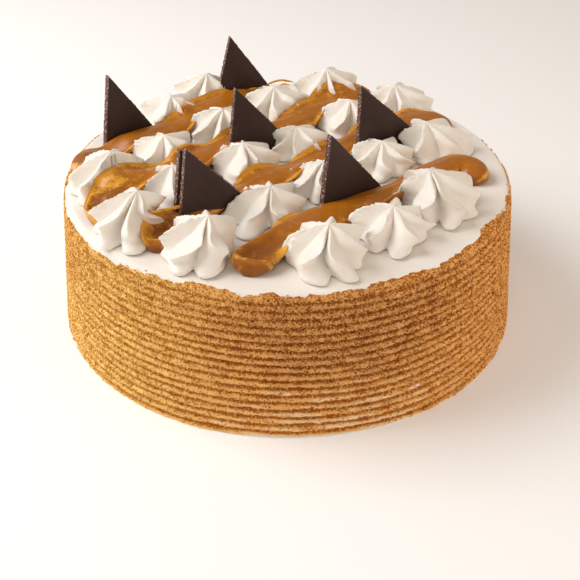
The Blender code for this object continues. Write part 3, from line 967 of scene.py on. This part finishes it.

# %% [markdown]
# ## Sauce ribbons
# The sauce was poured in bands that follow the valleys between the rows and lie over the skirts of
# the rosettes on both sides. A curve with a profile is the natural tool: the path is a smooth line
# through a few given points and the profile is flat-footed with a broad level back. Each given
# point also says how far the sauce reaches to its left and right and how high it stands, and the
# mesh that the curve becomes is spread by those numbers, station by station. Then it settles: where
# low cream stands up under it, the surface swells gently over it. It is tinted by two numbers, one
# for where it lies deep, which also paints shade into the hollow and low on the walls, and thin for
# where it lies thin over cream, which also paints highlights on the shoulders and along the front
# rim of the hollow. Cream that would just come through it is pressed under. A few fine threads
# dripped off the spoon afterwards.

# %% Ribbon paths
# name, hollow behind the front end, height of cream that it still covers, and stations:
# x, y, reach to the left and right, height, all in mm
RIBBONS = (
    ("sauce_ribbon_1", 6.0, 9.5, (
        (-17.5, -98, 9.5, 9, 9.6), (-15, -90, 10, 10.5, 9.8), (-8, -81, 10, 10.5, 9.0),
        (-1, -72, 10, 9.5, 8.4), (6, -64, 10, 9.5, 7.8), (15, -56, 10.5, 9.5, 7.6),
        (27, -48, 10, 10, 7.6), (42, -38, 8.5, 10, 7.6), (54, -28, 8, 9, 7.4), (65, -17, 8, 9, 7.4),
        (76, -7, 8.5, 9, 7.8), (86, -2, 9.5, 8, 8.4), (93, -6, 8.5, 6.5, 8.4), (91, -16, 8.5, 6, 7.6))),
    ("sauce_ribbon_2", 3.2, 9.5, (
        (-59, -79, 6.5, 7, 6.8), (-59, -68, 7.5, 9, 6.8), (-51, -58, 9, 8, 7.4),
        (-36, -45, 10, 5.5, 7.2), (-22, -33, 11, 7.5, 7.6), (-10, -20, 11.5, 10, 8.0),
        (4, -10, 11, 10, 8.0), (18, 2, 9.5, 10, 7.6), (31, 17, 9.5, 9, 7.4), (46, 35, 9.5, 9.5, 7.4),
        (62, 47, 9.5, 9.5, 7.6), (77, 53, 9, 9, 7.2), (91, 49, 5, 6, 4.5))),
    ("sauce_ribbon_3", 2.6, 11, (
        (-86, -58, 2, 2.2, 3.0), (-91, -51, 4.5, 4.5, 6.0), (-89, -42, 8.5, 8.5, 9.0),
        (-81, -31, 12, 10, 10.6), (-69, -20, 10.8, 11, 10.4), (-56, -10, 8.5, 10.5, 9.2),
        (-43, 5, 10.5, 10.5, 8.6), (-30, 16, 10.5, 10, 8.4), (-16, 29, 10, 10, 8.4),
        (-3, 39, 10, 10, 8.4), (8, 51, 10.5, 10.5, 8.4), (19, 65, 10.5, 10, 8.4),
        (31, 79, 10.5, 10, 8.4), (48, 89, 7.5, 8, 7))),
    ("sauce_ribbon_4", 0.6, 9.5, (
        (-107.5, -10, 3.5, 4.5, 4.4), (-104.5, 0, 7, 8, 8.8), (-99.5, 7, 9.5, 8, 7.6),
        (-93, 13, 11.5, 7.5, 4.2), (-84.5, 20, 9.5, 9.5, 9.4), (-74, 28, 10, 10, 9.2),
        (-62, 38, 9, 9, 8.2), (-54, 49, 9, 9, 8.2), (-47, 61, 9.5, 9, 8.6), (-37, 71, 10, 9.5, 9.0),
        (-27, 79, 10, 9, 9.0), (-15, 83, 6, 6, 6))),
)
# fine threads that dripped off the spoon: name, thickness, and places along it with the height
# over the top where it hangs free, in mm
THREADS = (
    ("sauce_thread_left", 1.6, ((-64, -62, 10.5), (-60.5, -61, 11), (-56.3, -59.5, 11),
                                (-52.5, -57.5, 11), (-48, -54, 10))),
    ("sauce_thread_far", 1.2, ((-13, 91, 8), (-5, 92.5, 10), (3, 92.5, 9))),
    ("sauce_thread_small", 1.0, ((-7, 84, 9), (-3, 87, 10), (1, 88, 9))),
)
# cream that comes through the sauce by less than this is pressed under it; three rosettes of the
# rows on the left lie deeper in the sauce, and thin lobe ends go under it everywhere
PRESS = 2.6 * MM
DEEP_PRESS = {"d1": 10.0 * MM, "d2": 5.0 * MM, "e2": 5.0 * MM}
END_PRESS = 5.0 * MM                   # what the ends of the lobes add to it
BURIED = 0.8 * MM                      # how far below the sauce the pressed cream ends
SAUCE_FOOT = TOP - 0.3 * MM            # where the underside of the ribbons lies
UNIT = 10 * MM                         # the profile's half width and height before it is spread
PATH_STEP, THREAD_STEP = 1.2 * MM, 0.8 * MM
NEAR_ENDS = np.array([0.04, 0.13, 0.3, 0.6])   # the closer places at an end, in steps
PROFILE_POINTS = 26
END_RUN, THREAD_END = 7 * MM, 3 * MM   # length over which an end closes
HOLLOW_RUN = 30 * MM                   # length of the hollow behind the thick front end
# the front rim of the hollow gets a painted highlight line this far from the front end
BRINK, BRINK_WIDTH = 4 * MM, 1.5 * MM  # the pale brink in front of the hollow
SKIN = 1.8 * MM                        # sauce that stays over the cream that it swells over
BRIDGE = 2                             # such cream lifts this many stations before and after it, too
BLUR_ALONG, BLUR_ACROSS = 60, 4        # passes that make the swelling gentle
MERGE_SAUCE = 0.1 * MM
print("ribbons to pour:", len(RIBBONS))

# %% Pour the ribbons


def smooth_path(knots, step):
    """Rows on a Catmull-Rom curve through the given ones, closer at its ends, and the length at each."""
    knots = np.array(knots, float) * MM
    knots = np.vstack([2 * knots[0] - knots[1], knots, 2 * knots[-1] - knots[-2]])
    fine = []
    for p0, p1, p2, p3 in zip(knots, knots[1:], knots[2:], knots[3:]):
        for t in np.linspace(0, 1, 20, endpoint=False):
            fine.append(0.5 * (2 * p1 + (p2 - p0) * t + (2 * p0 - 5 * p1 + 4 * p2 - p3) * t ** 2
                               + (3 * p1 - p0 - 3 * p2 + p3) * t ** 3))
    fine = np.array(fine + [knots[-2]])
    strides = np.linalg.norm(np.diff(fine[:, :2], axis=0), axis=1)
    lengths = np.concatenate(([0], np.cumsum(strides)))
    marks = np.linspace(0, lengths[-1], int(lengths[-1] / step) + 1)
    near = NEAR_ENDS * step
    marks = np.sort(np.concatenate((marks, near, lengths[-1] - near)))
    return np.stack([np.interp(marks, lengths, column) for column in fine.T], 1), marks


def poly_curve(name, points, radii=None, closed=False):
    data = bpy.data.curves.new(name, "CURVE")
    data.dimensions = "3D"
    spline = data.splines.new("POLY")
    spline.points.add(len(points) - 1)
    spline.use_cyclic_u = closed
    for i, point in enumerate(points):
        spline.points[i].co = (*point, 1.0)
        spline.points[i].radius = 1.0 if radii is None else radii[i]
    return into_scene(name, data)


def ribbon_profile():
    """Flat foot, round shoulders and a broad, nearly level back, one unit wide to each side."""
    points = []
    for i in range(PROFILE_POINTS):
        turn = math.pi * i / (PROFILE_POINTS - 1)
        across = math.copysign(abs(math.cos(turn)) ** 0.75, math.cos(turn)) * UNIT
        points.append((across, math.sin(turn) ** 0.6 * UNIT, 0))
    return points


def mesh_from_curve(route):
    nothing_selected()
    route.select_set(True)
    bpy.context.view_layer.objects.active = route
    bpy.ops.object.convert(target="MESH")
    return bpy.context.object


def closing_ends(marks, run, least):
    """0 to 1 over the run at each end of a path, but never below the least."""
    return clamp(np.minimum(marks, marks[-1] - marks) / run, least, 1)


def surface_of(pieces):
    """The faces of several pieces in one tree that answers where a ray meets them."""
    starts = np.cumsum([0] + [len(piece.data.vertices) for piece in pieces]).tolist()
    corners = [v.co.copy() for piece in pieces for v in piece.data.vertices]
    faces = [[start + i for i in face.vertices] for piece, start in zip(pieces, starts)
             for face in piece.data.polygons]
    return BVHTree.FromPolygons(corners, faces)


def highest(surface, x, y, missing):
    """Height of the surface as seen from above, or the missing value where there is none."""
    hit = surface.ray_cast(Vector((x, y, 1.0)), Vector((0, 0, -1)))[0]
    return missing if hit is None else hit.z


def heights_over_top(places):
    """How high the cream of the rosettes stands over the drum's top at each place."""
    return np.array([max(0.0, highest(cream_surface, x, y, TOP) - TOP) for x, y, _ in places])


def soften(grid, passes):
    """Blur a grid along its first axis, each pass over the nearest neighbours."""
    for _ in range(passes):
        wide = np.vstack([grid[:1], grid, grid[-1:]])
        grid = 0.25 * wide[:-2] + 0.5 * grid + 0.25 * wide[2:]
    return grid


def spread(piece, stations, closing, swell):
    """Widen each station to its own left and right reach and height; give offsets from -1 to 1."""
    places = places_of(piece)
    station = np.arange(len(places)) // PROFILE_POINTS
    heading = np.gradient(stations[:, :2], axis=0)
    heading /= np.linalg.norm(heading, axis=1)[:, None]
    left = np.stack([-heading[:, 1], heading[:, 0]], 1)[station]
    middle = stations[station, :2]
    off = ((places[:, :2] - middle) * left).sum(1)
    reach = np.where(off > 0, stations[station, 2], stations[station, 3]) * swell[station] / UNIT
    places[:, :2] = middle + left * (off * reach)[:, None]
    places[:, 2] = SAUCE_FOOT + (places[:, 2] - SAUCE_FOOT) * stations[station, 4] / UNIT
    return places, station, off / (UNIT * closing[station])


def settle(places, run, off, hollow, cover, seed):
    """Run faint flow lines and a fold along the back, swell over low cream and sink the hollow."""
    back = clamp((places[:, 2] - TOP - 1.0 * MM) / (3 * MM))
    sink = hollow * clamp(1.2 - (off / 0.7) ** 2) * clamp(1 - run / HOLLOW_RUN) ** 0.6 \
        * clamp(2 * run / END_RUN - 0.8)
    fold = 0.5 * hump(off, 0.45, 0.16) * np.sin(run / MM * 0.045 + seed)
    flow = 0.16 * np.sin(off * 11 + 1.5 * np.sin(run / MM * 0.07 + seed)) \
        + 0.22 * np.sin(run / MM * 0.21 + off * 2.2 + 2 * seed)
    places[:, 2] += (flow + fold) * MM * back
    low = np.minimum(heights_over_top(places), cover).reshape(-1, PROFILE_POINTS)
    held = np.max([np.roll(low, step, axis=0) for step in range(-BRIDGE, BRIDGE + 1)], axis=0)
    held = soften(soften(held, BLUR_ALONG).T, BLUR_ACROSS).T.ravel()
    lifted = TOP + held + SKIN * clamp(held / MM)
    places[:, 2] += np.maximum(lifted - places[:, 2], 0) * clamp(back * 3) - sink * back
    return sink / max(hollow, MM), held


def tint_ribbon(piece, places, run, off, height, sunk, held):
    """Painted shade in the hollow and on low walls; painted highlights on shoulders and front rim; pale over
    cream.
    """
    # painted shade low on the walls
    wall_shade = 1 - clamp((places[:, 2] - TOP) / (height * 0.8))
    # painted highlights on the shoulders, stronger on the far side, and along the front rim of the hollow
    shoulder_highlight = hump(np.abs(off), 0.86, 0.09) * np.where(off > 0, 1, 0.6) * clamp(run / BRINK - 1)
    brink_highlight = 0.8 * hump(run, BRINK, BRINK_WIDTH)
    over_cream = clamp(held / (7 * MM)) * clamp(1.5 - run / (35 * MM), 0.25, 0.9) * (1 - 0.6 * sunk)
    # the pooling number carries the painted shade, and thin also carries the painted highlights
    carry(piece, pool=clamp(sunk + wall_shade),
          thin=clamp(np.maximum(shoulder_highlight, brink_highlight) + over_cream) * (1 - wall_shade * 0.6))


def pour_ribbon(seed, name, hollow, cover, knots):
    stations, marks = smooth_path(knots, PATH_STEP)
    closing = np.sqrt(1 - (1 - closing_ends(marks, END_RUN, TINY)) ** 3)
    swell = 1 + waves(marks / MM, (0.035, 0.17, seed), (0.03, 0.41, 2 * seed))
    profile = poly_curve("profile", ribbon_profile(), closed=True)
    route = poly_curve(name, [(x, y, SAUCE_FOOT) for x, y in stations[:, :2]], closing)
    route.data.twist_mode = "Z_UP"
    route.data.bevel_mode = "OBJECT"
    route.data.bevel_object = profile
    piece = mesh_from_curve(route)
    bpy.data.objects.remove(profile)
    places, station, off = spread(piece, stations, closing, swell)
    run = marks[station]
    sunk, held = settle(places, run, off, hollow * MM, cover * MM, seed)
    put_places(piece, places)
    tint_ribbon(piece, places, run, off, stations[station, 4], sunk, held)
    edit()
    seal(MERGE_SAUCE)
    modify(piece, "SMOOTH", factor=0.5, iterations=3)
    modify(piece, "SUBSURF", levels=1, render_levels=1)
    bpy.ops.object.shade_smooth()
    hand_over(piece, name + "_poured", caramel, "caramel_sauce", name)
    return piece


def draw_thread(name, thickness, knots):
    stations, marks = smooth_path(knots, THREAD_STEP)
    high = heights_over_top(stations)
    soft = np.convolve(np.pad(high, 3, mode="edge"), np.full(7, 1 / 7), mode="valid")
    high = np.maximum(np.maximum(high, soft) + 0.2 * thickness * MM, stations[:, 2])
    points = [(x, y, TOP + z) for (x, y, _), z in zip(stations, high)]
    route = poly_curve(name, points, np.sqrt(closing_ends(marks, THREAD_END, 0.05)))
    route.data.bevel_depth = thickness * MM / 2
    route.data.bevel_resolution = 3
    route.data.use_fill_caps = True
    piece = mesh_from_curve(route)
    bpy.ops.object.shade_smooth()
    carry(piece, thin=np.full(len(piece.data.vertices), 0.8))
    hand_over(piece, name, caramel, "caramel_sauce")


def press_under(piece, x, y, radius, press):
    """Press the cream that comes through the sauce by less than the limit below its surface."""
    places = places_of(piece)
    out = np.hypot(places[:, 0] - x * MM, places[:, 1] - y * MM) / (radius * MM)
    limits = press + END_PRESS * clamp((out - 0.75) / 0.25)
    pressed = 0
    for place, limit in zip(places, limits):
        over = place[2] - highest(sauce_surface, place[0], place[1], place[2])
        if 0 < over < limit:
            place[2] -= (over + BURIED) * min(1, 2 - 2 * over / limit)
            pressed += 1
    put_places(piece, places)
    return pressed


cream_surface = surface_of(rosettes)
ribbons = [pour_ribbon(seed, *row) for seed, row in enumerate(RIBBONS)]
for thread in THREADS:
    draw_thread(*thread)
sauce_surface = surface_of(ribbons)
pressed = [press_under(piece, x, y, radius, DEEP_PRESS.get(name, PRESS))
           for piece, (name, x, y, radius, *_) in zip(rosettes, ROSETTES)]
print("poured", len(ribbons), "ribbons and", len(THREADS), "threads; cream points pressed:", sum(pressed))

# %% [markdown]
# ## Chocolate triangles
# Each triangle is a thin slab pushed upright into the cream. We lay a circle of many vertices out
# along the triangle's outline, fill it, extrude it through the thickness in several rows and
# bevel the rims a little. The rows give the cut edge enough vertices to be broken up like real
# snapped chocolate, and the same rows carry the number that colours the edge.

# %% Cut the chocolate
UPRIGHT_LEG = 40 * MM
THICK = 3.4 * MM
OUTLINE_POINTS = 150
EDGE_ROWS = 6
CHIP, RIM_CHIP = 0.22 * MM, 0.12 * MM  # how far the cut edge and its rims are broken
EDGE_PROUD = 0.25 * MM                 # how far the edge stands out between its rims
RIM_BEVEL = 0.25 * MM
BEVEL_FROM, SMOOTH_UNTIL = math.radians(50), math.radians(35)
TWIN_SEED = 50
# name, foot of the upright edge in x and y (mm), turn and tip in degrees, foot length (mm)
TRIANGLES = (
    ("chocolate_1_front", -50.0, -57.8, 28.0, 7.2, 46),
    ("chocolate_2", 16.5, -44.5, 38.0, 6.9, 45),
    ("chocolate_3", 37.0, 13.3, 29.5, 0.5, 44),
    ("chocolate_4", -30.4, 9.4, 23.5, 6.5, 43),
    ("chocolate_5", -96.9, 23.0, 41.6, 9.2, 38),
    ("chocolate_6", -41.6, 82.0, 18.4, 13.8, 45),
)
# the first triangle is a pair; its twin stands right behind it, a little to the left and deeper
TWIN_STEP = Matrix.Translation((-1.0 * MM, THICK + 0.9 * MM, -2.0 * MM))


def triangle_frame(x, y, turn, tip):
    place = Matrix.Translation((x * MM, y * MM, TOP))
    return place @ Matrix.Rotation(math.radians(turn), 4, "Z") @ Matrix.Rotation(math.radians(tip), 4, "Y")


def outline_of(foot):
    """Points round the triangle at even steps, starting at its upright corner."""
    corners = [Vector((0, 0)), Vector((foot, 0)), Vector((0, UPRIGHT_LEG)), Vector((0, 0))]
    lengths = [0]
    for a, b in zip(corners, corners[1:]):
        lengths.append(lengths[-1] + (b - a).length)
    marks = np.linspace(0, lengths[-1], OUTLINE_POINTS, endpoint=False)
    return [np.interp(marks, lengths, [c[k] for c in corners]) for k in (0, 1)]


def cut_triangle(seed, name, placing, foot):
    nothing_selected()
    bpy.ops.mesh.primitive_circle_add(vertices=OUTLINE_POINTS, radius=foot, fill_type="NGON")
    piece = bpy.context.object
    across, up = outline_of(foot)
    put_places(piece, np.stack([across, np.zeros(OUTLINE_POINTS), up], 1))
    edit()
    for _ in range(EDGE_ROWS):
        bpy.ops.mesh.extrude_region_move(TRANSFORM_OT_translate={"value": (0, THICK / EDGE_ROWS, 0)})
    seal()
    places = places_of(piece)
    row = np.rint(places[:, 1] / (THICK / EDGE_ROWS)).astype(int)
    inner = (row > 0) & (row < EDGE_ROWS)
    pick = random.Random(seed)
    chips = np.array([pick.gauss(0, 1) for _ in range(len(places))])
    push = np.where(inner, EDGE_PROUD + CHIP * chips, RIM_CHIP * chips)
    away = places - np.array([foot / 3, 0, UPRIGHT_LEG / 3])
    away[:, 1] = 0
    away /= np.linalg.norm(away, axis=1)[:, None]
    places += away * push[:, None]
    carry(piece, cut_edge=inner * 1.0)
    put_places(piece, [placing @ Vector(p) for p in places])
    modify(piece, "BEVEL", width=RIM_BEVEL, segments=2, limit_method="ANGLE", angle_limit=BEVEL_FROM)
    bpy.ops.object.shade_smooth_by_angle(angle=SMOOTH_UNTIL)
    hand_over(piece, name + "_cut", chocolate, "dark_chocolate", name)


for seed, (name, x, y, turn, tip, foot) in enumerate(TRIANGLES):
    placing = triangle_frame(x, y, turn, tip)
    cut_triangle(seed, name, placing, foot * MM)
    if name.endswith("_front"):
        cut_triangle(seed + TWIN_SEED, name.replace("_front", "_back"), placing @ TWIN_STEP, foot * MM)

# %% [markdown]
# ## Loose crumbs
# From near, the coat is thousands of separate crumbs. Each is a squashed eight-sided lump, turned
# at random and half sunk in the side. Each kind is built as one joined mesh from arrays, because
# thousands of operator calls would be slow. A crumb carries the golden and toast numbers of its
# place, so that it takes the colour of the coat round it, and a groove number of its own kind.

# %% Scatter the crumbs
# name, count, smallest and largest width in mm, palest and darkest tone (0 crest, 1 groove),
# how much the kind prefers grooves (1) to crests (-1), how far it strays over the edge in mm
CRUMB_KINDS = (
    ("pale_crumbs", 22000, 0.5, 1.1, -0.7, 0.3, -0.9, 0.0),
    ("golden_crumbs", 24000, 0.5, 1.2, 0.0, 1.0, 0.0, 0.8),
    ("brown_crumbs", 20000, 0.5, 1.2, 0.6, 1.4, 0.9, 0.6),
    ("sandy_crumbs", 22000, 0.4, 0.9, -0.2, 0.9, -0.3, 0.3),
    ("stray_crumbs", 2400, 0.4, 1.0, 0.1, 1.2, 0.0, 3.0),
)
BURNT_CRUMBS = ("burnt_crumbs", 130, 0.8, 1.7, 1.0, 1.0, 0.3, 1.5)
FIRST_SEED, BURNT_SEED = 11, 31
TRIES = 3                              # places tried for each crumb that is wanted
CRUMB_PROUD = 0.2 * MM                 # how far the middle of a crumb stands out of the coat
CRUMB_START = 0.6 * MM                 # the lowest crumbs lie so far above the coat's foot
UNEVEN = (0.6, 1.25)                   # how far the six corners of a crumb reach
LUMP = np.array([(1, 0, 0), (0, 1, 0), (-1, 0, 0), (0, -1, 0), (0, 0, 1), (0, 0, -1)], float)
RIM_PAIRS = [(i, (i + 1) % 4) for i in range(4)]
LUMP_FACES = np.array([(a, b, 4) for a, b in RIM_PAIRS] + [(b, a, 5) for a, b in RIM_PAIRS])


def random_turns(dice, count):
    """Rotation matrices from random unit quaternions."""
    q = dice.normal(size=(count, 4))
    q /= np.linalg.norm(q, axis=1)[:, None]
    w, x, y, z = q.T
    return np.stack([1 - 2 * (y * y + z * z), 2 * (x * y - z * w), 2 * (x * z + y * w),
                     2 * (x * y + z * w), 1 - 2 * (x * x + z * z), 2 * (y * z - x * w),
                     2 * (x * z - y * w), 2 * (y * z + x * w), 1 - 2 * (x * x + y * y)], 1).reshape(-1, 3, 3)


def joined_lumps(name, spots, sizes, dice):
    """One mesh of squashed octahedra, one at each spot."""
    count, corners = len(spots), len(LUMP)
    shape = LUMP[None] * dice.uniform(*UNEVEN, (count, corners, 1)) * sizes[:, None, None]
    points = np.einsum("nij,nkj->nki", random_turns(dice, count), shape) + spots[:, None]
    faces = LUMP_FACES[None] + corners * np.arange(count)[:, None, None]
    mesh = bpy.data.meshes.new(name)
    mesh.from_pydata(points.reshape(-1, 3).tolist(), [], faces.reshape(-1, 3).tolist())
    return into_scene(name, mesh)


def spots_on_coat(dice, count, taste, stray):
    """Random places on the coat, thinned by how well the kind likes a groove there."""
    tries = TRIES * count
    angle = dice.uniform(-math.pi, math.pi, tries)
    limit = SIDE_TOP + crumb_reach(angle) + stray * MM * dice.uniform(0, 1, tries) ** 2
    start = CRUMB_START + bare_foot(angle)
    along = start + dice.uniform(0, 1, tries) * (limit - start)
    low = np.minimum(along, SIDE_TOP)
    groove = groove_at(angle, low)
    liking = (0.5 + taste * (groove - 0.5)) * (1 - 0.9 * bare_and_lit_crest(angle, low) * (1 - groove))
    liking *= unscraped(angle, low) >= 0.9
    liked = np.nonzero(dice.uniform(0, 1, tries) < liking)[0][:count]
    angle, along = angle[liked], along[liked]
    over = np.maximum(along - SIDE_TOP, 0)
    bend = np.minimum(over / RIM_ROUND, math.pi / 2)
    inward = np.maximum(over - RIM_ROUND * math.pi / 2, 0)
    z = np.where(over > 0, SIDE_TOP + RIM_ROUND * np.sin(bend), along)
    sunk = groove_at(angle, z) * comb_strength(angle, z) * RIDGE_DEPTH * (over == 0)
    radius = np.where(over > 0, RIM_RADIUS + RIM_ROUND * np.cos(bend) - inward, side_radius(z) - sunk)
    radius += CRUMB_PROUD - out_of_round(angle)
    return angle, np.stack([radius * np.cos(angle), radius * np.sin(angle), z], 1)


def scatter(seed, name, count, low, high, pale, dark, taste, stray, material=crumb):
    dice = np.random.default_rng(seed)
    angle, spots = spots_on_coat(dice, count, taste, stray)
    count, corners = len(spots), len(LUMP)
    piece = joined_lumps(name, spots, dice.uniform(low, high, count) * MM / 2, dice)
    carry(piece, groove=np.repeat(dice.uniform(pale, dark, count), corners),
          golden=np.repeat(golden_at(angle), corners),
          toast=np.repeat(toast_at(angle, spots[:, 2]), corners),
          cover=np.ones(corners * count))
    hand_over(piece, name, material, "crumb_coat")


for seed, kind in enumerate(CRUMB_KINDS):
    scatter(FIRST_SEED + seed, *kind)
scatter(BURNT_SEED, *BURNT_CRUMBS, material=dark_crumb)
